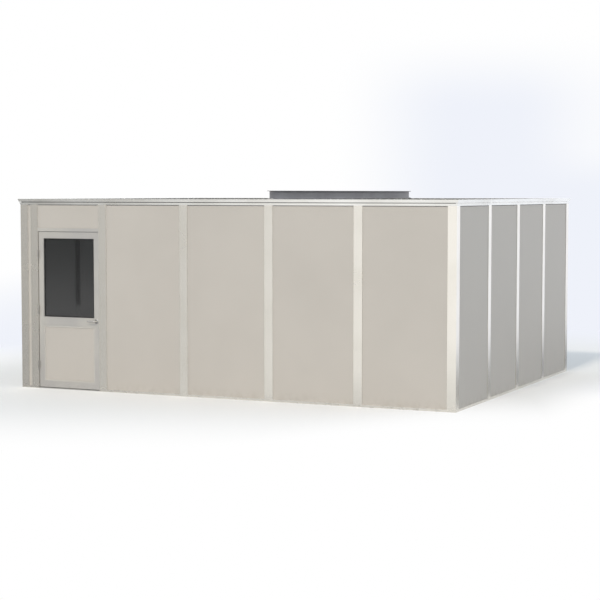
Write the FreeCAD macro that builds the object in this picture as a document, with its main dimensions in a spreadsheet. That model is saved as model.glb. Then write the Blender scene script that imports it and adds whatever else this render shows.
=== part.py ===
import FreeCAD, Part
import math
import os
import Sketcher

# Modular in-plant office: a free-standing room of panelled walls that bolts together on a
# plant floor. Posts with grooves hold the wall panels, channels close them at foot and head,
# a ribbed steel deck covers the room, one steel beam stiffens it, and a half-glazed door in
# the front wall swings outwards. Millimetres, Z up. The origin is the centre of the walls'
# footprint on the floor, X runs to the right along the front wall and Y to the back wall.

FRONT_BAYS = 4
SIDE_BAYS = 4
BACK_BAYS = 5
DECK_SHEETS = 5
RIBS_PER_SHEET = 6
HINGES = 3
KNUCKLES = 3

document = FreeCAD.newDocument("InPlantOffice")
sheet = document.addObject("Spreadsheet::Sheet", "Sizes")
aliases = []


def size(alias, value):
    """Write one driving size into the sheet and return the words that refer to it."""
    aliases.append(alias)
    cell = f"B{len(aliases)}"
    sheet.set(f"A{len(aliases)}", alias)
    sheet.set(cell, str(value))
    sheet.setAlias(cell, alias)
    return f"Sizes.{alias}"


# Plan, read along the outer faces of the walls.
panel_face_width = size("panel_face_width", 1070)
post_face_width = size("post_face_width", 112)
corner_face_width = size("corner_face_width", 112)
filler_face_width = size("filler_face_width", 42)
door_opening_width = size("door_opening_width", 922)
front_bays = size("front_bays", FRONT_BAYS)
side_bays = size("side_bays", SIDE_BAYS)
back_bays = size("back_bays", BACK_BAYS)

# Walls. The flange depth is how far a post's face stands off the panels.
panel_thickness = size("panel_thickness", 76)
flange_depth = size("flange_depth", 6)
section_thickness = size("section_thickness", 3)
base_leg_height = size("base_leg_height", 30)
transom_face_height = size("transom_face_height", 304)

# Crown of the walls and edge of the roof.
top_band_height = size("top_band_height", 29)
shadow_gap_height = size("shadow_gap_height", 8)
seat_height = size("seat_height", 7)
seat_setback_depth = size("seat_setback_depth", 8)
crown_overhang_depth = size("crown_overhang_depth", 28)
trim_thickness = size("trim_thickness", 3)
trim_cover_width = size("trim_cover_width", 60)
trim_lip_width = size("trim_lip_width", 10)

# Roof deck and beam.
deck_height = size("deck_height", 35)
deck_thickness = size("deck_thickness", 1.5)
deck_inset_depth = size("deck_inset_depth", 12)
lap_gap = size("lap_gap", 0.8)
deck_sheets = size("deck_sheets", DECK_SHEETS)
deck_ribs = size("deck_ribs", RIBS_PER_SHEET)
rib_crest_width = size("rib_crest_width", 100)
rib_side_width = size("rib_side_width", 15)
beam_height = size("beam_height", 106)
beam_flange_width = size("beam_flange_width", 68)
beam_flange_thickness = size("beam_flange_thickness", 8)
beam_web_thickness = size("beam_web_thickness", 6)
beam_root_radius = size("beam_root_radius", 7)
beam_end_inset = size("beam_end_inset", 40)

# Doorway and door leaf.
door_opening_height = size("door_opening_height", 2055)
head_rail_height = size("head_rail_height", 44)
head_groove_depth = size("head_groove_depth", 14)
stop_width = size("stop_width", 10)
stop_gap = size("stop_gap", 5.5)
threshold_height = size("threshold_height", 10)
leaf_gap = size("leaf_gap", 5)
leaf_recess_depth = size("leaf_recess_depth", 10)
leaf_thickness = size("leaf_thickness", 44.5)
leaf_foot_height = size("leaf_foot_height", 17)
stile_width = size("stile_width", 74)
top_rail_height = size("top_rail_height", 85)
lock_rail_height = size("lock_rail_height", 118)
bottom_rail_height = size("bottom_rail_height", 85)
kick_opening_height = size("kick_opening_height", 722)
rebate_depth = size("rebate_depth", 8)
bead_width = size("bead_width", 12)
bead_step_depth = size("bead_step_depth", 2.5)
glass_thickness = size("glass_thickness", 6)
kick_thickness = size("kick_thickness", 25)

# Hinges and lever handles. The lever stands above the lock rail's centre line.
hinge_height = size("hinge_height", 114)
hinge_end_distance = size("hinge_end_distance", 235)
hinge_wing_width = size("hinge_wing_width", 32)
hinge_wing_thickness = size("hinge_wing_thickness", 2)
knuckle_radius = size("knuckle_radius", 8)
knuckle_gap = size("knuckle_gap", 0.5)
pin_radius = size("pin_radius", 4)
pin_clearance = size("pin_clearance", 0.2)
knuckle_stand_off_gap = size("knuckle_stand_off_gap", 1)
lever_rise_height = size("lever_rise_height", 18)
lever_backset_width = size("lever_backset_width", 40)
lever_reach_depth = size("lever_reach_depth", 46)
lever_length = size("lever_length", 116)
lever_radius = size("lever_radius", 8.5)
lever_bend_radius = size("lever_bend_radius", 16)
lever_tip_bevel_width = size("lever_tip_bevel_width", 3)
rose_radius = size("rose_radius", 30)
rose_thickness = size("rose_thickness", 8)
rose_rim_thickness = size("rose_rim_thickness", 3)
rose_bevel_width = size("rose_bevel_width", 5)
spindle_clearance = size("spindle_clearance", 0.5)

# Sizes that follow from the ones above.
wall_depth = f"({panel_thickness} + 2 * {flange_depth})"
wall_inner = f"({wall_depth} - {flange_depth})"
groove_depth = f"({corner_face_width} - {wall_depth})"
bay = f"({panel_face_width} + {post_face_width})"
hinge_post_at = f"({corner_face_width} + {filler_face_width})"
doorway_at = f"({hinge_post_at} + {post_face_width})"
strike_post_at = f"({doorway_at} + {door_opening_width})"
front_panels_at = f"({strike_post_at} + {post_face_width})"
front_length = (
    f"({front_panels_at} + {front_bays} * {bay} - {post_face_width} + {corner_face_width})"
)
side_length = f"(2 * {corner_face_width} + {side_bays} * {bay} - {post_face_width})"
back_bay = f"(({front_length} - 2 * {corner_face_width} + {post_face_width}) / {back_bays})"
back_face_width = f"({back_bay} - {post_face_width})"
head_top = f"({door_opening_height} + {head_rail_height})"
wall_top = f"({head_top} + {transom_face_height})"
track_top = f"({wall_top} + {top_band_height})"
panel_top = f"({track_top} - {section_thickness})"
seat_top = f"({track_top} + {seat_height})"
deck_top = f"({seat_top} + {deck_height})"
crown_top = f"({deck_top} + {trim_thickness})"
crown_lean = f"({crown_overhang_depth} / ({crown_top} - {wall_top}))"
stop_face = f"({leaf_recess_depth} + {leaf_thickness} + {stop_gap})"
leaf_at = f"({doorway_at} + {leaf_gap})"
leaf_width = f"({door_opening_width} - 2 * {leaf_gap})"
leaf_top = f"({door_opening_height} - {leaf_gap})"
leaf_inside = f"({leaf_recess_depth} + {leaf_thickness})"
kick_low = f"({leaf_foot_height} + {bottom_rail_height})"
kick_high = f"({kick_low} + {kick_opening_height})"
glass_low = f"({kick_high} + {lock_rail_height})"
glass_high = f"({leaf_top} - {top_rail_height})"
pin_at = f"({doorway_at} + {leaf_gap} / 2)"
pin_depth = f"(0 - {knuckle_radius} - {knuckle_stand_off_gap})"
lever_at = f"({leaf_at} + {leaf_width} - {lever_backset_width})"
lever_height = f"({kick_high} + {lock_rail_height} / 2 + {lever_rise_height})"

# Each wall is drawn alike: along its outer face from its own left-hand corner, as someone
# outside sees it, and inwards from that face. The values are its turn and that corner.
WALLS = {
    "front": (0, f"0 - {front_length} / 2", f"0 - {side_length} / 2"),
    "right": (90, f"{front_length} / 2", f"0 - {side_length} / 2"),
    "back": (180, f"{front_length} / 2", f"{side_length} / 2"),
    "left": (270, f"0 - {front_length} / 2", f"{side_length} / 2"),
}
LENGTHS = {"front": front_length, "right": side_length, "back": front_length, "left": side_length}
STEPS = {"front": (1, 0), "right": (0, 1), "back": (-1, 0), "left": (0, -1)}


def stand(piece, wall, along="0", height="0"):
    """Put a piece drawn in wall terms on its wall, so far along it and so far up."""
    turn, corner_x, corner_y = WALLS[wall]
    step_x, step_y = STEPS[wall]
    upright = FreeCAD.Rotation(FreeCAD.Vector(0, 0, 1), turn)
    piece.Placement = FreeCAD.Placement(FreeCAD.Vector(), upright)
    piece.setExpression(".Placement.Base.x", f"{corner_x} + {step_x} * ({along})")
    piece.setExpression(".Placement.Base.y", f"{corner_y} + {step_y} * ({along})")
    piece.setExpression(".Placement.Base.z", height)
    return piece


def new_body(label):
    body = document.addObject("PartDesign::Body", label)
    body.Label = label
    return body


def new_sketch(body, plane, offset="0"):
    """Sketch on one of the body's own base planes, moved off it along its normal."""
    sketch = body.newObject("Sketcher::SketchObject", f"{body.Name}_sketch")
    base = [item for item in body.Origin.OriginFeatures if item.Role == plane][0]
    sketch.AttachmentSupport = [(base, "")]
    sketch.MapMode = "FlatFace"
    sketch.setExpression(".AttachmentOffset.Base.z", offset)
    return sketch


def hold_point(sketch, geometry, point, place):
    """Hold an end or centre of a line at a place given by sizes from the sheet."""
    now = sketch.getPoint(geometry, point)
    for kind, value, expression in zip(("DistanceX", "DistanceY"), (now.x, now.y), place):
        held = Sketcher.Constraint(kind, -1, 1, geometry, point, value)
        sketch.setExpression(f"Constraints[{sketch.addConstraint(held)}]", expression)


def outline(sketch, corners):
    """Close a straight-sided outline whose corners are held at sizes from the sheet."""
    first = len(sketch.Geometry)
    count = len(corners)
    for number in range(count):
        start = FreeCAD.Vector(number, number % 2, 0)
        end = FreeCAD.Vector(number + 1, (number + 1) % 2, 0)
        sketch.addGeometry(Part.LineSegment(start, end), False)
    for number in range(count):
        following = first + (number + 1) % count
        sketch.addConstraint(Sketcher.Constraint("Coincident", first + number, 2, following, 1))
    for number, corner in enumerate(corners):
        hold_point(sketch, first + number, 1, corner)


def rectangle(sketch, low_x, low_y, high_x, high_y):
    outline(sketch, [(low_x, low_y), (high_x, low_y), (high_x, high_y), (low_x, high_y)])


def circle(sketch, across, up, radius):
    """Full circle held at sizes from the sheet."""
    unit = Part.Circle(FreeCAD.Vector(1, 1, 0), FreeCAD.Vector(0, 0, 1), 1)
    number = sketch.addGeometry(unit, False)
    hold_point(sketch, number, 3, (across, up))
    held = sketch.addConstraint(Sketcher.Constraint("Radius", number, 1.0))
    sketch.setExpression(f"Constraints[{held}]", radius)


def pad(body, sketch, length):
    feature = body.newObject("PartDesign::Pad", f"{body.Name}_pad")
    feature.Profile = sketch
    feature.setExpression("Length", length)
    return feature


def pocket_through(body, sketch):
    """Cut the sketch right through the body, both ways."""
    feature = body.newObject("PartDesign::Pocket", f"{body.Name}_pocket")
    feature.Profile = sketch
    feature.Type = "ThroughAll"
    feature.Midplane = True
    return feature


def repeat_along(body, features, sketch, spacing, occurrences):
    """Repeat features along the sketch's horizontal axis."""
    feature = body.newObject("PartDesign::LinearPattern", f"{body.Name}_row")
    feature.Originals = features
    feature.Direction = (sketch, ["H_Axis"])
    feature.setExpression("Length", f"{spacing} * ({occurrences} - 1)")
    feature.setExpression("Occurrences", occurrences)
    body.Tip = feature
    return feature


# Walls: channels, posts and panels.

def base_track(label, wall, start, end):
    """Floor channel, open upwards, whose lipped legs hold the feet of posts and panels."""
    body = new_body(label)
    section = new_sketch(body, "YZ_Plane")
    far = f"({wall_depth} - {section_thickness})"
    lip = f"({base_leg_height} - {section_thickness})"
    outline(section, [
        ("0", "0"), (wall_depth, "0"), (wall_depth, base_leg_height),
        (wall_inner, base_leg_height), (wall_inner, lip), (far, lip), (far, section_thickness),
        (section_thickness, section_thickness), (section_thickness, lip), (flange_depth, lip),
        (flange_depth, base_leg_height), ("0", base_leg_height),
    ])
    pad(body, section, f"{end} - {start}")
    return stand(body, wall, start)


def ring(sketch, low_x, low_y, high_x, high_y):
    """Rectangle with a hole that leaves one section thickness all round."""
    rectangle(sketch, low_x, low_y, high_x, high_y)
    rectangle(
        sketch, f"{low_x} + {section_thickness}", f"{low_y} + {section_thickness}",
        f"{high_x} - {section_thickness}", f"{high_y} - {section_thickness}",
    )


def stubs(body, low, high):
    """The duct's two ends, which run on into the floor channel and the head channel."""
    foot = new_sketch(body, "XY_Plane", section_thickness)
    ring(foot, low, flange_depth, high, wall_inner)
    foot_pad = pad(body, foot, f"{base_leg_height} - {section_thickness}")
    head = new_sketch(body, "XY_Plane", wall_top)
    ring(head, low, flange_depth, high, wall_inner)
    return [foot_pad, pad(body, head, f"{panel_top} - {wall_top}")]


def face_lips(edge, inwards):
    """Corners of a flange's lipped edge, outer lip first, for a section read up its right."""
    lip = f"({edge} + {inwards} * {section_thickness})"
    return [(edge, "0"), (edge, flange_depth), (lip, flange_depth), (lip, section_thickness)]


def turned_over(corners):
    """The same corners on the wall's inner side, in reverse order."""
    return [(across, f"({wall_depth} - {depth})") for across, depth in reversed(corners)]


def wall_posts(label, wall, first_at, spacing, occurrences):
    """Row of extruded posts: two lipped flanges that grip the panels, and a cable duct."""
    body = new_body(label)
    near = groove_depth
    far = f"({post_face_width} - {groove_depth})"
    section = new_sketch(body, "XY_Plane", base_leg_height)
    right = face_lips(post_face_width, "(0 - 1)") + [(far, section_thickness)]
    left = [(near, section_thickness)] + list(reversed(face_lips("0", "1")))
    outline(section, right + turned_over(right) + turned_over(left) + left)
    inner = f"({wall_depth} - {section_thickness})"
    rectangle(
        section, f"{near} + {section_thickness}", section_thickness,
        f"{far} - {section_thickness}", inner,
    )
    shaft = pad(body, section, f"{wall_top} - {base_leg_height}")
    repeat_along(body, [shaft] + stubs(body, near, far), section, spacing, occurrences)
    return stand(body, wall, first_at)


def jamb_post(label, at, mirrored):
    """Post beside the doorway: lipped for a panel on one side, a plain jamb on the other."""
    body = new_body(label)

    def across(value):
        return f"({post_face_width} - {value})" if mirrored else value

    section = new_sketch(body, "XY_Plane", base_leg_height)
    left = [(groove_depth, section_thickness)] + list(reversed(face_lips("0", "1")))
    corners = [(post_face_width, "0"), (post_face_width, wall_depth)] + turned_over(left) + left
    outline(section, [(across(along), depth) for along, depth in corners])
    low = f"{groove_depth} + {section_thickness}"
    high = f"{post_face_width} - {section_thickness}"
    rectangle(
        section, across(f"({low})"), section_thickness,
        across(f"({high})"), f"{wall_depth} - {section_thickness}",
    )
    pad(body, section, f"{wall_top} - {base_leg_height}")
    if mirrored:
        stubs(body, "0", f"({post_face_width} - {groove_depth})")
    else:
        stubs(body, groove_depth, post_face_width)
    return stand(body, "front", at)


def corner_post(label, wall):
    """Square duct with a lipped groove for the panels of each wall that meets in it."""
    body = new_body(label)
    skin = section_thickness
    edge = corner_face_width
    far = f"({wall_depth} - {skin})"
    lip = f"({edge} - {skin})"
    first_wall = [
        (edge, "0"), (edge, flange_depth), (lip, flange_depth), (lip, skin), (wall_depth, skin),
        (wall_depth, far), (lip, far), (lip, wall_inner), (edge, wall_inner), (edge, wall_depth),
    ]
    second_wall = [(depth, along) for along, depth in reversed(first_wall)]
    section = new_sketch(body, "XY_Plane")
    outline(section, [("0", "0")] + first_wall + [(wall_depth, wall_depth)] + second_wall)
    rectangle(section, skin, skin, far, far)
    pad(body, section, wall_top)
    return stand(body, wall)


def board(body, visible, low=section_thickness, hidden=groove_depth):
    """One panel from its foot to the head channel, wider than it shows by what grips it."""
    plan = new_sketch(body, "XY_Plane", low)
    rectangle(plan, f"0 - {hidden}", flange_depth, f"{visible} + {hidden}", wall_inner)
    return plan, pad(body, plan, f"{panel_top} - {low}")


def panel_row(label, wall, visible, spacing, occurrences):
    """All the panels of a wall, from corner post to corner post."""
    body = new_body(label)
    plan, first = board(body, visible)
    repeat_along(body, [first], plan, spacing, occurrences)
    return stand(body, wall, corner_face_width)


def front_panel(label, at, visible, **edges):
    """One panel of the front wall."""
    body = new_body(label)
    board(body, visible, **edges)
    return stand(body, "front", at)


base_track("base_track_front_left", "front", corner_face_width, doorway_at)
base_track(
    "base_track_front_right", "front", strike_post_at, f"{front_length} - {corner_face_width}"
)
for wall in ("right", "back", "left"):
    base_track(
        f"base_track_{wall}", wall, corner_face_width, f"{LENGTHS[wall]} - {corner_face_width}"
    )

corner_post("corner_post_front_left", "front")
corner_post("corner_post_front_right", "right")
corner_post("corner_post_back_right", "back")
corner_post("corner_post_back_left", "left")

jamb_post("hinge_post", hinge_post_at, False)
jamb_post("strike_post", strike_post_at, True)
wall_posts(
    "front_wall_posts", "front", f"{front_panels_at} + {panel_face_width}", bay, f"{front_bays} - 1"
)
for wall in ("right", "left"):
    wall_posts(
        f"{wall}_wall_posts", wall, f"{corner_face_width} + {panel_face_width}", bay,
        f"{side_bays} - 1",
    )
wall_posts(
    "back_wall_posts", "back", f"{corner_face_width} + {back_face_width}", back_bay,
    f"{back_bays} - 1",
)

front_panel("filler_panel", corner_face_width, filler_face_width)
for number in range(FRONT_BAYS):
    front_panel(
        f"front_panel_{number + 1}", f"{front_panels_at} + {number} * {bay}", panel_face_width
    )
for wall in ("right", "left"):
    panel_row(f"{wall}_wall_panels", wall, panel_face_width, bay, side_bays)
panel_row("back_wall_panels", "back", back_face_width, back_bay, back_bays)


# Crown: the head channel of each wall and the roof edge trim above it, mitred at the corners.

def leaning(height):
    """How far the crown's outer face stands out at a height."""
    return f"(0 - {crown_lean} * ({height} - {wall_top}))"


def mitre(body, wall):
    """Cut both ends of a crown piece at forty-five degrees in plan."""
    reach = f"(2 * {corner_face_width})"
    for start, inwards in (("0", "1"), (LENGTHS[wall], "-1")):
        plan = new_sketch(body, "XY_Plane")
        tip = (f"{start} - {inwards} * {reach}", f"0 - {reach}")
        inner = (f"{start} + {inwards} * {reach}", reach)
        outer = (f"{start} - {inwards} * {reach}", reach)
        outline(plan, [tip, inner, outer])
        pocket_through(body, plan)


def top_track(wall):
    """Head channel over the panels, its outer leg leaning out, with a raised deck seat."""
    body = new_body(f"top_track_{wall}")
    section = new_sketch(body, "YZ_Plane", f"0 - {crown_overhang_depth}")
    outline(section, [
        ("0", wall_top), (flange_depth, wall_top), (flange_depth, panel_top),
        (wall_inner, panel_top), (wall_inner, wall_top), (wall_depth, wall_top),
        (wall_depth, seat_top), (seat_setback_depth, seat_top),
        (seat_setback_depth, track_top), (leaning(track_top), track_top),
    ])
    pad(body, section, f"{LENGTHS[wall]} + 2 * {crown_overhang_depth}")
    mitre(body, wall)
    return stand(body, wall)


def roof_edge(wall):
    """Pressed trim that covers the deck's edge: a leaning face and a flange over the deck."""
    body = new_body(f"roof_edge_{wall}")
    section = new_sketch(body, "YZ_Plane", f"0 - {crown_overhang_depth}")
    foot = f"({track_top} + {shadow_gap_height})"
    lip = f"({foot} + {trim_thickness})"
    outline(section, [
        (leaning(foot), foot), (f"{leaning(foot)} + {trim_lip_width}", foot),
        (f"{leaning(foot)} + {trim_lip_width}", lip), (f"{leaning(lip)} + {trim_thickness}", lip),
        (f"{leaning(deck_top)} + {trim_thickness}", deck_top), (trim_cover_width, deck_top),
        (trim_cover_width, crown_top), (leaning(crown_top), crown_top),
    ])
    pad(body, section, f"{LENGTHS[wall]} + 2 * {crown_overhang_depth}")
    mitre(body, wall)
    return stand(body, wall)


for wall in WALLS:
    top_track(wall)
for wall in WALLS:
    roof_edge(wall)


# Roof: ribbed deck sheets that span from the left wall to the right wall, and the beam.

rib_pitch = (
    f"(({side_length} - 2 * {deck_inset_depth} - ({deck_sheets} - 1) * {lap_gap})"
    f" / ({deck_sheets} * {deck_ribs}))"
)
sheet_width = f"({rib_pitch} * {deck_ribs})"


def roof_deck():
    """Ribbed steel sheets side by side: one rib as a bent strip, repeated over each sheet."""
    body = new_body("roof_deck")
    section = new_sketch(body, "YZ_Plane")
    rise = f"({deck_height} - {deck_thickness})"
    bend = f"({deck_thickness} * tan(atan({rise} / {rib_side_width}) / 2))"
    crest = f"({rib_crest_width} / 2)"
    valley = f"({crest} + {rib_side_width})"
    outline(section, [
        ("0", rise), (f"{crest} - {bend}", rise), (f"{valley} - {bend}", "0"),
        (f"{rib_pitch} - {valley} + {bend}", "0"), (f"{rib_pitch} - {crest} + {bend}", rise),
        (rib_pitch, rise), (rib_pitch, deck_height), (f"{rib_pitch} - {crest}", deck_height),
        (f"{rib_pitch} - {valley}", deck_thickness), (valley, deck_thickness),
        (crest, deck_height), ("0", deck_height),
    ])
    rib = pad(body, section, f"{front_length} - 2 * {deck_inset_depth}")
    sheets = repeat_along(body, [rib], section, rib_pitch, deck_ribs)
    sheets.Direction2 = (section, ["H_Axis"])
    sheets.setExpression("Length2", f"({sheet_width} + {lap_gap}) * ({deck_sheets} - 1)")
    sheets.setExpression("Occurrences2", deck_sheets)
    body.setExpression(".Placement.Base.x", f"{deck_inset_depth} - {front_length} / 2")
    body.setExpression(".Placement.Base.y", f"{deck_inset_depth} - {side_length} / 2")
    body.setExpression(".Placement.Base.z", seat_top)
    return body


def roof_beam():
    """Rolled steel section over the room from front wall to back wall, above the deck."""
    body = new_body("roof_beam")
    section = new_sketch(body, "XZ_Plane")
    flange = f"({beam_flange_width} / 2)"
    web = f"({beam_web_thickness} / 2)"
    low = beam_flange_thickness
    high = f"({beam_height} - {beam_flange_thickness})"
    right = [(flange, "0"), (flange, low), (web, low), (web, high), (flange, high)]
    right.append((flange, beam_height))
    left = [(f"(0 - {across})", up) for across, up in reversed(right)]
    outline(section, right + left)
    shaft = pad(body, section, f"{side_length} - 2 * {beam_end_inset}")
    over_post = f"{front_panels_at} + 2 * {bay} - {post_face_width} / 2"
    body.setExpression(".Placement.Base.x", f"{over_post} - {front_length} / 2")
    body.setExpression(".Placement.Base.y", f"{side_length} / 2 - {beam_end_inset}")
    body.setExpression(".Placement.Base.z", crown_top)
    document.recompute()
    lengthwise = [
        (abs(edge.CenterOfMass.x), f"Edge{number}")
        for number, edge in enumerate(shaft.Shape.Edges, 1)
        if abs(edge.tangentAt(edge.FirstParameter).y) > 0.99
    ]
    fillet = body.newObject("PartDesign::Fillet", "root_fillets")
    fillet.Base = (shaft, [name for offset, name in sorted(lengthwise)[:4]])
    fillet.setExpression("Radius", beam_root_radius)
    body.Tip = fillet
    return body


roof_deck()
roof_beam()


# Doorway: head rail, stops and threshold between the two jamb posts, and the transom panel.

def door_head():
    """Hollow rail over the doorway with a groove that the transom panel stands in."""
    body = new_body("door_head")
    section = new_sketch(body, "YZ_Plane")
    seat = f"({head_top} - {head_groove_depth})"
    outline(section, [
        ("0", door_opening_height), (wall_depth, door_opening_height), (wall_depth, head_top),
        (wall_inner, head_top), (wall_inner, seat), (flange_depth, seat),
        (flange_depth, head_top), ("0", head_top),
    ])
    rectangle(
        section, section_thickness, f"{door_opening_height} + {section_thickness}",
        f"{wall_depth} - {section_thickness}", f"{seat} - {section_thickness}",
    )
    pad(body, section, door_opening_width)
    return stand(body, "front", doorway_at)


def door_stops():
    """Strips that the closed leaf meets, one on each jamb and one under the head rail."""
    body = new_body("door_stops")
    jambs = new_sketch(body, "XY_Plane", threshold_height)
    far = f"({door_opening_width} - {stop_width})"
    rectangle(jambs, "0", stop_face, stop_width, wall_depth)
    rectangle(jambs, far, stop_face, door_opening_width, wall_depth)
    pad(body, jambs, f"{door_opening_height} - {threshold_height}")
    under = new_sketch(body, "XY_Plane", f"{door_opening_height} - {stop_width}")
    rectangle(under, f"{stop_width} + {lap_gap}", stop_face, f"{far} - {lap_gap}", wall_depth)
    pad(body, under, stop_width)
    return stand(body, "front", doorway_at)


def threshold():
    """Flat sill across the doorway with bevelled long edges."""
    body = new_body("threshold")
    section = new_sketch(body, "YZ_Plane")
    outline(section, [
        ("0", "0"), (wall_depth, "0"), (wall_depth, f"{threshold_height} / 2"),
        (f"{wall_depth} - {threshold_height}", threshold_height),
        (threshold_height, threshold_height), ("0", f"{threshold_height} / 2"),
    ])
    pad(body, section, door_opening_width)
    return stand(body, "front", doorway_at)


door_head()
door_stops()
threshold()
front_panel(
    "transom_panel", doorway_at, door_opening_width,
    low=f"({head_top} - {head_groove_depth})", hidden="0",
)


# Door leaf: frame of stiles and rails, glass above and a panel below the lock rail.

FILLINGS = {
    "door_panel": (kick_low, kick_high, kick_thickness),
    "door_glass": (glass_low, glass_high, glass_thickness),
}


def in_leaf(body, depth, low, high, spread):
    """Sketch at a depth in the leaf with an opening's rectangle, let out by spread."""
    face = new_sketch(body, "XZ_Plane", f"0 - ({depth})")
    rectangle(
        face, f"{stile_width} - {spread}", f"{low} - {spread}",
        f"{leaf_width} - {stile_width} + {spread}", f"{high} + {spread}",
    )
    return face


def cut_inwards(body, sketch, depth):
    """Cut from the sketch towards the inside of the room."""
    feature = body.newObject("PartDesign::Pocket", f"{body.Name}_cut")
    feature.Profile = sketch
    feature.setExpression("Length", depth)
    return feature


def leaf_frame():
    """Welded stiles and rails with stepped bead lines, glazing grooves and a lever bore."""
    body = new_body("door_leaf_frame")
    face = new_sketch(body, "XZ_Plane", f"0 - {leaf_inside}")
    rectangle(face, "0", leaf_foot_height, leaf_width, leaf_top)
    for low, high, thickness in FILLINGS.values():
        rectangle(face, stile_width, low, f"{leaf_width} - {stile_width}", high)
    pad(body, face, leaf_thickness)
    for low, high, thickness in FILLINGS.values():
        middle = f"{leaf_recess_depth} + ({leaf_thickness} - {thickness}) / 2"
        inner_step = f"{leaf_inside} - {bead_step_depth}"
        cut_inwards(body, in_leaf(body, middle, low, high, rebate_depth), thickness)
        for depth in (leaf_recess_depth, inner_step):
            cut_inwards(body, in_leaf(body, depth, low, high, bead_width), bead_step_depth)
    bore = new_sketch(body, "XZ_Plane")
    bore_radius = f"{lever_radius} + {spindle_clearance}"
    circle(bore, f"{leaf_width} - {lever_backset_width}", lever_height, bore_radius)
    pocket_through(body, bore)
    return stand(body, "front", leaf_at)


def leaf_filling(label):
    """Sheet held in the leaf's grooves on all four edges."""
    low, high, thickness = FILLINGS[label]
    body = new_body(label)
    depth = f"{leaf_recess_depth} + ({leaf_thickness} + {thickness}) / 2"
    pad(body, in_leaf(body, depth, low, high, rebate_depth), thickness)
    return stand(body, "front", leaf_at)


leaf_frame()
for label in FILLINGS:
    leaf_filling(label)


# Lever set: a turned rose on each face, and one bent bar from grip to grip.

def lever_roses():
    """Two bevelled discs turned about the spindle's line, each seated on a leaf face."""
    body = new_body("lever_roses")
    profile = new_sketch(body, "XY_Plane", lever_height)
    bore = f"({lever_radius} + {spindle_clearance})"
    for face, outwards in ((leaf_recess_depth, "(0 - 1)"), (leaf_inside, "1")):
        rim = f"({face} + {outwards} * {rose_rim_thickness})"
        top = f"({face} + {outwards} * {rose_thickness})"
        outline(profile, [
            (bore, face), (rose_radius, face), (rose_radius, rim),
            (f"({rose_radius} - {rose_bevel_width})", top), (bore, top),
        ])
    turned = body.newObject("PartDesign::Revolution", "turned_roses")
    turned.Profile = profile
    turned.ReferenceAxis = (profile, ["V_Axis"])
    turned.Angle = 360
    return stand(body, "front", lever_at)


def lever_handles():
    """Round bar: outer grip, bend, spindle through the leaf, bend, inner grip."""
    body = new_body("lever_handles")
    outer = f"({leaf_recess_depth} - {lever_reach_depth})"
    inner = f"({leaf_inside} + {lever_reach_depth})"
    tip = f"(0 - {lever_length})"
    bend = f"(0 - {lever_bend_radius})"
    spine = new_sketch(body, "XY_Plane", lever_height)
    runs = [
        ((-4, -3), (-1, -3), (tip, outer), (bend, outer)),
        ((0, -2), (0, 2), ("0", f"{outer} - {bend}"), ("0", f"{inner} + {bend}")),
        ((-1, 3), (-4, 3), (bend, inner), (tip, inner)),
    ]
    for start, end, held_start, held_end in runs:
        line = Part.LineSegment(FreeCAD.Vector(*start, 0), FreeCAD.Vector(*end, 0))
        number = spine.addGeometry(line, False)
        hold_point(spine, number, 1, held_start)
        hold_point(spine, number, 2, held_end)
    for run, (side, from_angle) in enumerate(((-2, -math.pi / 2), (2, 0))):
        circle_line = Part.Circle(FreeCAD.Vector(-1, side, 0), FreeCAD.Vector(0, 0, 1), 1)
        arc = Part.ArcOfCircle(circle_line, from_angle, from_angle + math.pi / 2)
        number = spine.addGeometry(arc, False)
        spine.addConstraint(Sketcher.Constraint("Coincident", run, 2, number, 1))
        spine.addConstraint(Sketcher.Constraint("Coincident", run + 1, 1, number, 2))
        centre = spine.addConstraint(Sketcher.Constraint("DistanceX", -1, 1, number, 3, -1.0))
        spine.setExpression(f"Constraints[{centre}]", bend)
    profile = new_sketch(body, "YZ_Plane", tip)
    circle(profile, outer, lever_height, lever_radius)
    bar = body.newObject("PartDesign::AdditivePipe", "bar")
    bar.Profile = profile
    bar.Spine = (spine, [f"Edge{number}" for number in range(1, 6)])
    document.recompute()
    tips = [
        f"Edge{number}"
        for number, edge in enumerate(bar.Shape.Edges, 1)
        if edge.isClosed() and edge.BoundBox.XLength < 0.01 and edge.CenterOfMass.x < -50
    ]
    bevelled = body.newObject("PartDesign::Chamfer", "bevelled_tips")
    bevelled.Base = (bar, tips)
    bevelled.setExpression("Size", lever_tip_bevel_width)
    body.Tip = bevelled
    return stand(body, "front", lever_at)


lever_roses()
lever_handles()


# Hinges, put together from plain turned and flat shapes.

def box(name, low, spans):
    """Block from its low corner and its three lengths, in front wall terms."""
    block = document.addObject("Part::Box", name)
    for side, length in zip(("Length", "Width", "Height"), spans):
        block.setExpression(side, length)
    stand(block, "front", low[0], low[2])
    block.setExpression(".Placement.Base.y", f"{WALLS['front'][2]} + ({low[1]})")
    return block


def cylinder(name, radius, length, foot):
    """Upright round bar from the centre of its foot, in front wall terms."""
    rod = document.addObject("Part::Cylinder", name)
    rod.setExpression("Radius", radius)
    rod.setExpression("Height", length)
    stand(rod, "front", foot[0], foot[2])
    rod.setExpression(".Placement.Base.y", f"{WALLS['front'][2]} + ({foot[1]})")
    return rod


def joined(name, pieces):
    union = document.addObject("Part::MultiFuse", name)
    union.Shapes = pieces
    union.Label = name
    return union


def without(name, base, tool):
    result = document.addObject("Part::Cut", name)
    result.Base = base
    result.Tool = tool
    result.Label = name
    return result


lowest_hinge = f"({leaf_foot_height} + {hinge_end_distance})"
highest_hinge = f"({leaf_top} - {hinge_end_distance} - {hinge_height})"
hinge_step = f"(({highest_hinge} - {lowest_hinge}) / {HINGES - 1})"
knuckle_step = f"({hinge_height} / {KNUCKLES})"


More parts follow.
